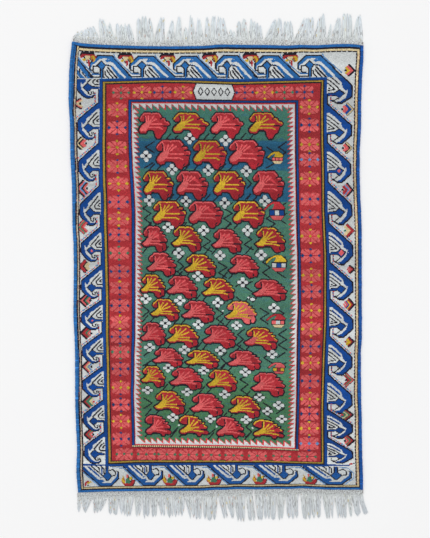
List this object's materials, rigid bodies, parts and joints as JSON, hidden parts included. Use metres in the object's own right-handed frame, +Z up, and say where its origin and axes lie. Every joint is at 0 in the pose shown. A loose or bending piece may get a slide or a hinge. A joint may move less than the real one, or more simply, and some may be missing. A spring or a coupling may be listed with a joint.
{
  "type": "hand-knotted rug",
  "caption": "Rectangular hand-knotted wool rug with slightly uneven woven edges, overcast sides and a knotted warp fringe at each end; lies flat on a floor.",
  "frame": {"origin": "middle of the whole rug, fringes included, on the plane it lies on", "axes": "+X across the rug to the picture's right, +Y along the rug to the picture's top, +Z up out of the pile"},
  "size_m": [1.0188, 1.7274, 0.008],
  "materials": {
    "knotted_pile": "clipped wool pile, one knot every 2.3 mm, in ivory, dark red, salmon, yellow, green, mid blue, navy, sand and black",
    "overcast_wool": "blue wool wrapped round the edge cords",
    "warp_yarn": "off-white twisted warp ends, knotted into a narrow net and then loose"
  },
  "bodies": {
    "root": {"pile_body": "knotted_pile", "selvedge_left": "overcast_wool", "selvedge_right": "overcast_wool", "fringe_top": "warp_yarn", "fringe_bottom": "warp_yarn"}
  },
  "joints": []
}
